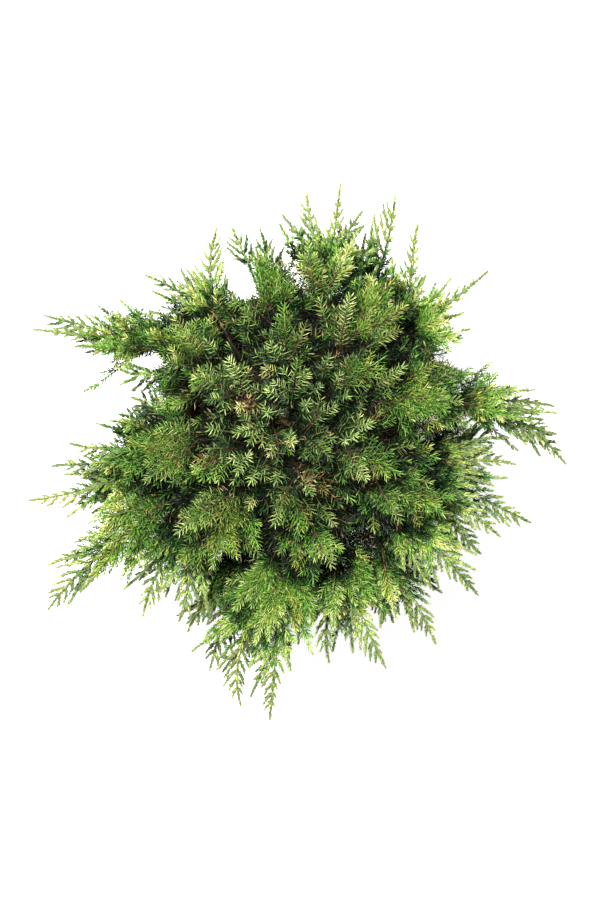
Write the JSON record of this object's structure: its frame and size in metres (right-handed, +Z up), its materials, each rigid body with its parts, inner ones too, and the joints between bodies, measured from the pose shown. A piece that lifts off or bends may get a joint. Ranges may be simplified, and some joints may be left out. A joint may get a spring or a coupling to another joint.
{
  "type": "potted lemon carpet common juniper",
  "caption": "Low spreading common juniper, full feathery shoots arching over the rim of a round tapered nursery pot that stands on its flat underside.",
  "frame": {"origin": "middle of the pot's flat underside", "axes": "+Z up along the pot's axis; +Y towards the top edge of the picture, +X to its right"},
  "size_m": [0.469, 0.4599, 0.3505],
  "materials": {
    "pot": "matte",
    "soil": "rough",
    "bark": "rough",
    "foliage": "matte"
  },
  "bodies": {
    "root": {"pot": "pot", "soil": "soil", "trunk": "bark", "bough_01": "bark", "bough_02": "bark", "bough_03": "bark", "bough_04": "bark", "bough_05": "bark", "bough_06": "bark", "bough_07": "bark", "bough_08": "bark", "bough_09": "bark", "bough_10": "bark", "bough_11": "bark", "bough_12": "bark", "bough_13": "bark", "bough_14": "bark", "bough_15": "bark", "bough_16": "bark", "bough_17": "bark", "bough_18": "bark", "bough_19": "bark", "bough_20": "bark", "outer_foliage_01": "foliage", "outer_foliage_02": "foliage", "outer_foliage_03": "foliage", "outer_foliage_04": "foliage", "outer_foliage_05": "foliage", "outer_foliage_06": "foliage", "outer_foliage_07": "foliage", "outer_foliage_08": "foliage", "outer_foliage_09": "foliage", "outer_foliage_10": "foliage", "outer_foliage_11": "foliage", "outer_foliage_12": "foliage", "outer_foliage_13": "foliage", "outer_foliage_14": "foliage", "outer_foliage_15": "foliage", "outer_foliage_16": "foliage", "outer_foliage_17": "foliage", "outer_foliage_18": "foliage", "outer_foliage_19": "foliage", "outer_foliage_20": "foliage", "middle_foliage_01": "foliage", "middle_foliage_02": "foliage", "middle_foliage_03": "foliage", "middle_foliage_04": "foliage", "middle_foliage_05": "foliage", "middle_foliage_06": "foliage", "middle_foliage_07": "foliage", "middle_foliage_08": "foliage", "upper_foliage_01": "foliage", "upper_foliage_02": "foliage", "upper_foliage_03": "foliage", "upper_foliage_04": "foliage", "upper_foliage_05": "foliage", "upper_foliage_06": "foliage", "top_foliage_01": "foliage", "top_foliage_02": "foliage", "top_foliage_03": "foliage"}
  },
  "joints": []
}
